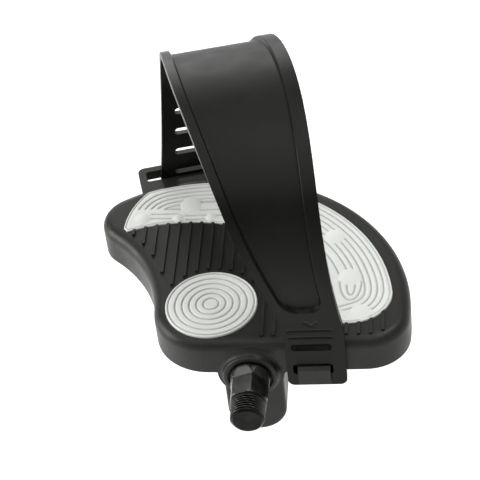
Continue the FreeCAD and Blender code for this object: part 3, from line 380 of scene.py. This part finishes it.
# The grooves are painted darker: partly dirt packed in them, partly painted shade where light
# falls less into the hollows.
tread_groove_dirt_and_shade = tread_rubber.sums("MULTIPLY", tread_rubber.mark("groove"), 0.75)
tread_rubber.feed(tread_rubber.mix(tread_groove_dirt_and_shade, tread_tone, (0.32, 0.33, 0.31)), "Base Color")
tread_rough = tread_rubber.group(surface_mottle, Scale=200.0, Low=0.42, High=0.55)
tread_rubber.feed(tread_rough, "Roughness")
tread_rubber.bump(tread_rubber.group(spark_grain, Scale=1400.0), 0.12, 0.0002)
tread_rubber.put_on(round_pad)
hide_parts("round_tread_pad")
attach(round_pad, "platform")


# Crescent tread pad: the same grey rubber under the ball of the foot. Contour grooves follow its
# edge like the lines of a map, and break at smooth round domes.
def arc_through(first, middle, last, count):
    """Points along the circle through three points, from the first to the last."""
    a, b, c = (complex(*p) for p in (first, middle, last))
    w = (c - a) / (b - a)
    centre = a + (b - a) * (w - abs(w) ** 2) / (2j * w.imag)
    start = np.angle(a - centre)
    turn = np.angle((c - centre) / (a - centre))
    bend = np.angle((b - centre) / (a - centre))
    if bend * turn < 0 or abs(bend) > abs(turn):
        turn -= np.sign(turn) * 2 * np.pi
    z = centre + abs(a - centre) * np.exp(1j * (start + turn * np.linspace(0.0, 1.0, count)))
    return np.stack([z.real, z.imag], -1)


def even_run(pieces, count):
    """Joined curves as points at even steps of length."""
    line = np.concatenate(pieces)
    run = np.concatenate([[0.0], np.cumsum(np.linalg.norm(np.diff(line, axis=0), axis=1))])
    share = np.linspace(0.0, run[-1], count)
    return np.stack([np.interp(share, run, line[:, k]) for k in range(2)], -1)


def gap_to_line(points, line):
    """Least distance from each point to a run of straight pieces."""
    a, b = line[:-1], line[1:]
    best = np.full(len(points), 1e9)
    for start, way in zip(a, b - a):
        t = np.clip(((points - start) @ way) / max(way @ way, 1e-9), 0.0, 1.0)
        best = np.minimum(best, np.linalg.norm(points - start - t[:, None] * way, axis=1))
    return best


def on_circle(centre, radius, degrees):
    """Point of a circle at an angle from the x axis."""
    return (centre[0] + radius * math.cos(math.radians(degrees)),
            centre[1] + radius * math.sin(math.radians(degrees)))


def crescent_surface():
    """Sheet between two edges: the outer edge and the inner edge are runs of arcs from the left
    tip to the near foot, and each row crosses from one to the other. Its height is flat, less a
    rounded groove along each contour line, plus a low dome at each smooth patch."""
    sweep, outer, inner = (-4.5, -3.0), 81.3, 50.0
    tip_high, tip_low, foot = (-42.3, 49.0), (-40.6, 46.7), (59.5, -13.9)
    finish, start = on_circle(sweep, outer, 111.0), on_circle(sweep, outer, 5.0)
    inner_top, inner_end = on_circle((0, 0), inner, 87.0), on_circle((0, 0), inner, -6.0)
    left_end = arc_through(tip_high, (-39.6, 62.5), finish, 40)
    sweep_edge = arc_through(finish, on_circle(sweep, outer, 58.0), start, 200)
    near_end = arc_through(start, (70.2, -9.6), foot, 40)
    inner_edge = [arc_through(tip_low, (-17.5, 51.6), inner_top, 60),
                  arc_through(inner_top, on_circle((0, 0), inner, 40.0), inner_end, 120),
                  arc_through(inner_end, (52.6, -11.9), foot, 30)]
    rows, columns = 460, 104
    outside = even_run([np.array([tip_low]), left_end, sweep_edge, near_end], rows)
    inside = even_run(inner_edge, rows)
    t = np.linspace(0.0, 1.0, columns)
    share = 0.7 * t + 0.3 * (1.0 - np.cos(np.pi * t)) / 2.0
    plan = inside[:, None] + share[None, :, None] * (outside - inside)[:, None]
    flat = plan.reshape(-1, 2)
    x, y = flat.T
    rim = np.concatenate([left_end[::2], sweep_edge[::3], near_end[::2]])
    from_edge = gap_to_line(flat, rim)
    from_edge = np.minimum(from_edge, gap_to_line(flat, np.concatenate(inner_edge)[::3]))
    from_edge = np.minimum(from_edge, gap_to_line(flat, np.array([tip_low, tip_high])))
    # The contour lines keep their distance from the outer edge with its corners smoothed.
    steps, reach = 400, 20
    guide = even_run([left_end, sweep_edge, near_end], steps)
    guide = np.pad(guide, ((reach, reach), (0, 0)), mode="reflect", reflect_type="odd")
    guide = sum(guide[k:k + steps] for k in range(2 * reach + 1)) / (2 * reach + 1)
    from_guide = gap_to_line(flat, guide[::3])

    def furrow(distance):
        """Rounded groove over the distance from its middle."""
        return np.exp(-(distance / groove_half) ** 2)

    edge_line, edge_share = 1.0, 0.7
    groove = edge_share * furrow(from_edge - edge_line)
    reached = np.where(x < -15.0, ease(60.6, 61.2, y), 1.0) * ease(-7.0, -6.4, y)
    for offset in (2.9, 5.5, 8.1, 10.7):
        groove = np.maximum(groove, furrow(from_guide - offset) * reached)
    groove = np.maximum(groove, furrow(from_guide - 13.3) * reached * ease(17.0, 17.6, y))
    leaf = ease(16.0, 17.0, x) * ease(14.6, 15.2, y)
    for offset in (15.9, 19.8):
        groove = np.maximum(groove, furrow(from_guide - offset) * leaf)
    # Two hairpins on the near side of a dome, then short lines round the domes on the left.
    u = np.linspace(np.pi, 2 * np.pi, 25)
    lines = [np.stack([59.0 + 4.6 * np.cos(u), 10.6 + 11.1 * np.sin(u)], -1),
             np.stack([59.1 + 1.75 * np.cos(u), 8.6 + 6.1 * np.sin(u)], -1)]
    lines += [np.array(run) for run in (
        [(-30.4, 57.6), (-18.2, 57.5)], [(-30.2, 54.7), (-20.9, 54.4)],
        [(-14.8, 56.0), (-6.5, 56.1), (12.0, 55.2)], [(-14.6, 53.5), (-6.3, 53.6)],
        [(-24.5, 60.6), (-17.6, 60.8)], [(-9.1, 65.4), (-0.9, 65.6), (16.0, 63.2)],
        [(-8.7, 59.5), (-0.5, 59.8), (16.0, 57.6)])]
    patches = [(-13.2, 63.1, 4.8), (-18.5, 54.7, 2.5), (-3.5, 54.5, 2.5), (51.7, 39.2, 4.6),
               (58.6, 13.6, 5.0), (63.4, -7.8, 4.6), (-34.5, 54.5, 3.6)]
    for line in lines:
        groove = np.maximum(groove, furrow(gap_to_line(flat, line)))
    dome = np.zeros(len(flat))
    for patch_x, patch_y, size in patches:
        away = np.hypot(x - patch_x, y - patch_y) / size
        groove = groove * ease(0.92, 1.05, away)
        dome = np.maximum(dome, np.clip(1.0 - away ** 2, 0.0, 1.0))
    proud, edge_round, groove_depth, dome_height = 0.5, 0.5, 0.45, 0.4
    past = np.clip(edge_round - from_edge, 0.0, edge_round)
    fall = edge_round - np.sqrt(np.clip(edge_round ** 2 - past ** 2, 0.0, None))
    z = deck_top + proud - groove_depth * groove + dome_height * dome - fall
    top = np.concatenate([plan + heel, z.reshape(rows, columns, 1)], -1)
    below = top[:, [-1, 0]].copy()
    below[..., 2] = recess_floor
    points = np.concatenate([top, below], 1)
    # Darkness along each groove for the finish: partly dirt packed in, partly painted shade in the
    # hollow.
    groove_dirt_and_shade = np.concatenate([groove.reshape(rows, columns), np.zeros((rows, 2))], 1)
    return points.reshape(-1, 3), cell_faces(rows, columns + 2, True), groove_dirt_and_shade


crescent_points, crescent_faces, crescent_groove_dirt_and_shade = crescent_surface()
crescent_pad = new_piece("crescent_pad_rubber", crescent_points, crescent_faces, 60.0,
                         groove=crescent_groove_dirt_and_shade)
tread_rubber.put_on(crescent_pad)
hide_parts("crescent_tread_pad")
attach(crescent_pad, "platform")


# Strap: one length of black thermoplastic rubber, hooked by a slot on the near wall, arched over
# the foot and passed down through the loop on the far edge. Raised rims run along both edges of
# a sunk panel, and a ladder of slots on the tail sets its length.
strap_thick, plate_y, plate_low, arch_start, strap_x = 3.0, 16.4, -5.0, 26.0, 27.8
slot_angle, tail_low = math.radians(14.0), -8.5
loop_x, loop_y, along_loop, off_loop = -33.9, 131.8, 1.2, 1.6
far_x = loop_x + along_loop * math.cos(slot_angle) + off_loop * math.sin(slot_angle)
far_y = loop_y + along_loop * math.sin(slot_angle) - off_loop * math.cos(slot_angle)
plate_half, crown_half, tail_half = 12.3, 25.0, 14.2
arch_poles = np.array([
    (plate_y, arch_start), (plate_y, arch_start + 58.0), (plate_y - 36.0, 129.0),
    (far_y + 56.0, 122.0), (far_y, deck_top + 65.0), (far_y, deck_top)])


def arch_curve(count):
    """Bezier curve in (y, z): each point is the poles weighted by the fifth-order Bernstein
    terms. Gives the points, the unit tangents and the length so far."""
    t = np.linspace(0.0, 1.0, count)[:, None]
    n = len(arch_poles) - 1
    weights = np.hstack([math.comb(n, k) * (1 - t) ** (n - k) * t ** k for k in range(n + 1)])
    slopes = np.hstack([math.comb(n - 1, k) * (1 - t) ** (n - 1 - k) * t ** k for k in range(n)])
    points, ways = weights @ arch_poles, slopes @ np.diff(arch_poles, axis=0)
    ways /= np.linalg.norm(ways, axis=1)[:, None]
    run = np.concatenate([[0.0], np.cumsum(np.linalg.norm(np.diff(points, axis=0), axis=1))])
    return points, ways, run


curve, curve_ways, curve_run = arch_curve(4001)
plate_run, arch_run, tail_run = arch_start - plate_low, curve_run[-1], deck_top - tail_low
strap_run = plate_run + arch_run + tail_run


def strap_frame(s):
    """Middle point, way across, way outwards and half width of the strap at each length s from
    its near end: a straight plate, the arch, then a straight tail. Over the arch the half width
    swells with sin(pi * share ** 1.13) to the power 1.4, and the way across leans as it goes."""
    along = np.clip((s - plate_run) / arch_run, 0.0, 1.0)
    y, z, way_y, way_z = (np.interp(along * arch_run, curve_run, column)
                          for column in (*curve.T, *curve_ways.T))
    z = z - np.clip(plate_run - s, 0.0, None) - np.clip(s - plate_run - arch_run, 0.0, None)
    swell = np.sin(np.pi * along ** 1.13).clip(0.0) ** 1.4
    eased = along - 0.12 * np.sin(2 * np.pi * along) / (2 * np.pi)
    end_half = plate_half + (tail_half - plate_half) * along
    half = end_half + (crown_half - end_half) * swell
    crown_lean, crown_shift = 4.7, 1.0
    lean = math.tan(slot_angle) * tail_half * along ** 3 + crown_lean * swell
    x = strap_x + (far_x - strap_x) * eased + crown_shift * swell
    across = np.stack([half, lean, np.zeros_like(half)], -1)
    across /= np.linalg.norm(across, axis=-1)[..., None]
    rise = np.stack([np.zeros_like(y), way_y, way_z], -1)
    out = np.cross(across, rise)
    out /= np.linalg.norm(out, axis=-1)[..., None]
    return np.stack([x, y, z], -1), across, out, half


def corner_trim(left, radius):
    """How much narrower each side is at a distance left from a rounded end."""
    past = np.clip(radius - left, 0.0, None)
    return radius - np.sqrt(np.clip(radius ** 2 - past ** 2, 0.0, None))


def slot_rows():
    """Start, end, rear side, front side and corner radius of each slot, along and across."""
    hook_slot, spare_slot = (6.5, 12.2, -9.7, 6.9, 1.6), (20.0, 23.8, -9.7, 6.9, 1.5)
    rung, rung_step, half_high, half_long, corner = 8.4, 10.7, 1.6, 7.3, 1.4
    level = rung + rung_step * np.arange(-1, 5)
    far_side = slice(-1, -1501, -1)
    on_arch = plate_run + np.interp(level, curve[far_side, 1], curve_run[far_side])
    s_mid = np.where(level < deck_top, strap_run - (level - tail_low), on_arch)
    drift = np.clip(level - deck_top, 0.0, None) * (strap_x - far_x) * 0.4 / arch_run
    middle, across = strap_frame(s_mid)[:2]
    q_mid = (far_x + drift - middle[:, 0]) / across[:, 0]
    ladder = [(s - half_high, s + half_high, q - half_long, q + half_long, corner)
              for s, q in sorted(zip(s_mid, q_mid))]
    return [hook_slot, spare_slot] + ladder


def strap_surface():
    """Two skins on one grid of (length, across), three millimetres apart, with the slots left
    out of both and walls round every free edge. The outer skin is lowered in the panel and along
    the marks by a smooth step of the distance to their outline."""
    slots = slot_rows()
    # Rows along the length, closer at the rounded ends and set on both ends of each slot.
    near_corner, far_corner = 3.0, 4.0
    base = np.concatenate([
        near_corner * (1.0 - np.cos(np.linspace(0.0, np.pi / 2, 9))), np.arange(3.5, 49.0, 0.5),
        np.arange(50.0, strap_run - 63.0, 1.3), np.arange(strap_run - 62.0, strap_run - 4.2, 0.55),
        strap_run - far_corner * (1.0 - np.cos(np.linspace(np.pi / 2, 0.0, 10)))])
    edges = np.array([s for slot in slots for s in slot[:2]])
    near = np.abs(base[:, None] - edges[None]).min(1) < 0.3
    s = np.sort(np.concatenate([base[~near], edges]))
    half = strap_frame(s)[3] - corner_trim(s, near_corner) - corner_trim(strap_run - s, far_corner)
    # Columns in three strips. The middle one lies between the slots' sides, or the panel's rims.
    knots = np.array([(t, slot[2], slot[3]) for slot in slots
                      for t in (slot[0] - 0.1, slot[1] + 0.1)])
    panel_low, panel_high = plate_run + 0.046 * arch_run, plate_run + 0.76 * arch_run
    rim_rear, rim_front, rim_foot, least = 4.2, 6.0, 0.7, 1.0
    beside_panel = ease(panel_low - 15.0, panel_low - 4.0, s)
    beside_panel = beside_panel * ease(panel_high + 15.0, panel_high + 4.0, s)
    rear = np.interp(s, knots[:, 0], knots[:, 1]) * (1.0 - beside_panel)
    rear = np.maximum(rear + (rim_rear + rim_foot - half) * beside_panel, least - half)
    front = np.interp(s, knots[:, 0], knots[:, 2]) * (1.0 - beside_panel)
    front = np.minimum(front + (half - rim_front - rim_foot) * beside_panel, half - least)
    strip = 26
    share = np.linspace(0.0, 1.0, strip + 1)
    q = np.concatenate([
        -half[:, None] + (rear + half)[:, None] * share,
        rear[:, None] + (front - rear)[:, None] * share[1:],
        front[:, None] + (half - front)[:, None] * share[1:]], 1)
    rows, columns = q.shape
    # Each slot leaves out its cells, and its corner points move onto their round.
    ss = np.repeat(s[:, None], columns, 1)
    cell_s = (s[1:] + s[:-1]) / 2
    kept = np.ones((rows - 1, columns - 1), bool)
    for low, high, left, right, radius in slots:
        inside = (ss >= low - 1e-6) & (ss <= high + 1e-6)
        inside[:, :strip] = False
        inside[:, 2 * strip + 1:] = False
        mid = np.array([(left + right) / 2, (low + high) / 2])
        room = np.array([(right - left) / 2, (high - low) / 2]) - radius
        way = np.stack([q, ss], -1) - mid
        past = np.abs(way) - room
        turn = inside & (past > 0).all(-1)
        length = np.maximum(np.linalg.norm(past, axis=-1), 1e-9)
        arc = mid + np.sign(way) * (room + radius * past / length[..., None])
        q, ss = np.where(turn, arc[..., 0], q), np.where(turn, arc[..., 1], ss)
        kept[np.ix_((cell_s > low) & (cell_s < high), np.arange(strip, 2 * strip))] = False
    point, across, out, wide = strap_frame(ss)
    # Distance to the panel's outline, below 0 inside it, then the scored lines and the arrow.
    round_end = 6.5
    side_gap = np.maximum(rim_rear - wide - q, q - wide + rim_front)
    end_gap = np.maximum(panel_low - ss, ss - panel_high)
    corner = np.hypot(np.clip(side_gap + round_end, 0.0, None),
                      np.clip(end_gap + round_end, 0.0, None))
    panel = corner + np.minimum(np.maximum(side_gap, end_gap) + round_end, 0.0) - round_end
    sunk = 1.0 - ease(-0.5, 0.5, panel)
    flat = np.stack([q, ss], -1).reshape(-1, 2)
    line = np.full(len(flat), 1e9)
    for run in ([(-10.2, 31.4), (7.4, 31.4)], [(-10.2, 27.5), (7.4, 27.5)],
                [(-2.2, 36.4), (0.2, 33.9), (2.6, 36.4)]):
        line = np.minimum(line, gap_to_line(flat, np.array(run)))
    score_half, score_depth, panel_depth = 0.42, 0.4, 1.8
    scored = np.exp(-(line.reshape(rows, columns) / score_half) ** 2)
    height = strap_thick / 2 - panel_depth * sunk - score_depth * scored
    outer = point + across * q[..., None] + out * height[..., None]
    inner = point + across * q[..., None] - out * (strap_thick / 2)
    # Both skins, with a wall on each edge that only one cell has.
    cells = cell_faces(rows, columns)[kept.ravel()]
    count = rows * columns
    hems = np.concatenate([cells[:, [k, (k + 1) % 4]] for k in range(4)])
    free = ~np.isin(hems[:, 0] * count + hems[:, 1], hems[:, 1] * count + hems[:, 0])
    hem = hems[free]
    walls = np.stack([hem[:, 1], hem[:, 0], hem[:, 0] + count, hem[:, 1] + count], -1)
    faces = np.concatenate([cells, cells[:, ::-1] + count, walls])
    used = np.zeros(2 * count, bool)
    used[faces.ravel()] = True
    number = np.cumsum(used) - 1
    points = np.concatenate([outer.reshape(-1, 3), inner.reshape(-1, 3)])[used]
    rim = np.concatenate([(1.0 - sunk).ravel(), np.ones(count)])[used]
    return points, number[faces], rim


strap_points, strap_faces, strap_rim = strap_surface()
strap = new_piece("strap_band", strap_points, strap_faces, 40.0, rim=strap_rim)
strap_edge = strap.modifiers.new("soft_edges", "BEVEL")
strap_edge.width = 0.0005
strap_edge.segments = 2
strap_edge.limit_method = "ANGLE"
strap_edge.angle_limit = math.radians(55.0)
strap_rubber = Finish("black_strap_rubber", Specular_IOR_Level=0.15,
                      Specular_Tint=(1.0, 1.0, 0.94, 1.0))
strap_tone = strap_rubber.mix(strap_rubber.group(surface_mottle, Scale=38.0, Detail=5.0),
                              (0.0042, 0.0042, 0.0038), (0.0068, 0.0068, 0.0062))
strap_rubber.feed(strap_tone, "Base Color")
strap_gloss = strap_rubber.sums("MULTIPLY", strap_rubber.mark("rim"), 0.05)
strap_rough = strap_rubber.group(surface_mottle, Scale=90.0, Low=0.34, High=0.44)
strap_rubber.feed(strap_rubber.sums("SUBTRACT", strap_rough, strap_gloss), "Roughness")
strap_rubber.bump(strap_rubber.group(spark_grain, Scale=2100.0), 0.12, 0.0002)
strap_rubber.put_on(strap)
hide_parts("strap")
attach(strap, "platform")


# Studio: a pale floor that sweeps up all round, low enough for the strap to swing over it. A broad
# soft box hangs overhead, a small one high on the right picks out the rounded edges, a low one
# behind draws the sheen on the strap's crown, and a fill stands on the left.
floor_low = -120.0


def sweep_surface():
    """Turned surface: flat out to the sweep's foot, then a quarter round up to its rim."""
    foot, bend = 2200.0, 1200.0
    turn = np.linspace(0.0, np.pi / 2, 13)
    r = np.concatenate([[0.0, 700.0, 1500.0], foot + bend * np.sin(turn)])
    z = floor_low + np.concatenate([[0.0, 0.0, 0.0], bend * (1.0 - np.cos(turn))])
    angle = np.linspace(0.0, 2 * np.pi, 65)[:-1]
    rr, a = np.meshgrid(r, angle, indexing="ij")
    zz = np.repeat(z[:, None], len(angle), 1)
    points = np.stack([rr * np.cos(a), rr * np.sin(a), zz], -1)
    return points.reshape(-1, 3), cell_faces(len(r), len(angle), True)


floor = new_piece("studio_floor", *sweep_surface())
floor_paint = Finish("pale_floor", Base_Color=(0.72, 0.72, 0.72, 1.0), Roughness=0.9,
                     Specular_IOR_Level=0.1, Emission_Color=(1.0, 1.0, 1.0, 1.0))
ray = floor_paint.tree.nodes.new("ShaderNodeLightPath").outputs
seen = floor_paint.sums("MAXIMUM", ray["Is Camera Ray"], ray["Is Glossy Ray"])
seen = floor_paint.sums("MAXIMUM", seen, ray["Is Transmission Ray"])
floor_paint.feed(floor_paint.sums("MULTIPLY", seen, 0.5), "Emission Strength")
floor_paint.put_on(floor)

world = bpy.data.worlds.new("studio_surround")
bpy.context.scene.world = world
world.use_nodes = True
surround = world.node_tree.nodes["Background"]
surround.inputs["Strength"].default_value = 0.35
surround.inputs["Color"].default_value = (1.0, 1.0, 1.0, 1.0)


def soft_box(name, place, aim, size, power):
    """Square lamp at place that faces aim, in metres."""
    lamp = bpy.data.lights.new(name, "AREA")
    lamp.shape = "SQUARE"
    lamp.size = size
    lamp.energy = power
    holder = bpy.data.objects.new(name, lamp)
    back = np.array(place) - np.array(aim)
    back = back / np.linalg.norm(back)
    side = np.cross((0.0, 1.0, 0.05), back)
    side = side / np.linalg.norm(side)
    turn = np.eye(4)
    turn[:3] = np.stack([side, np.cross(back, side), back, place], 1)
    holder.matrix_world = Matrix(turn.tolist())
    bpy.context.scene.collection.objects.link(holder)


soft_box("overhead_box", (-0.05, 0.05, 1.1), (0.0, 0.05, 0.0), 1.5, 8.5)
soft_box("key_box", (0.42, 0.3, 1.0), (0.0, 0.06, 0.0), 0.35, 2.6)
soft_box("back_box", (-0.25, 1.1, 0.44), (0.0, 0.08, 0.08), 0.5, 2.3)
soft_box("left_fill", (-1.0, 0.05, 0.35), (0.0, 0.08, 0.03), 0.6, 9.0)


# Camera: the photograph's view, from in front and above on the crank side, slightly rolled. A long
# lens keeps the far edge nearly as large as the near one.
focal_pixels, picture_pixels = 1804.45, 480.0
view = bpy.data.cameras.new("photo_view")
view.sensor_width = 36.0
view.lens = focal_pixels / picture_pixels * view.sensor_width
view.clip_start = 0.05
camera = bpy.data.objects.new("photo_view", view)
camera.matrix_world = Matrix((
    (0.9939, 0.0288, 0.1068, 0.0773), (0.0598, 0.6722, -0.7379, -0.4996),
    (-0.0931, 0.7398, 0.6664, 0.5417), (0.0, 0.0, 0.0, 1.0)))
bpy.context.scene.collection.objects.link(camera)
bpy.context.scene.camera = camera
bpy.context.scene.view_settings.view_transform = "Standard"
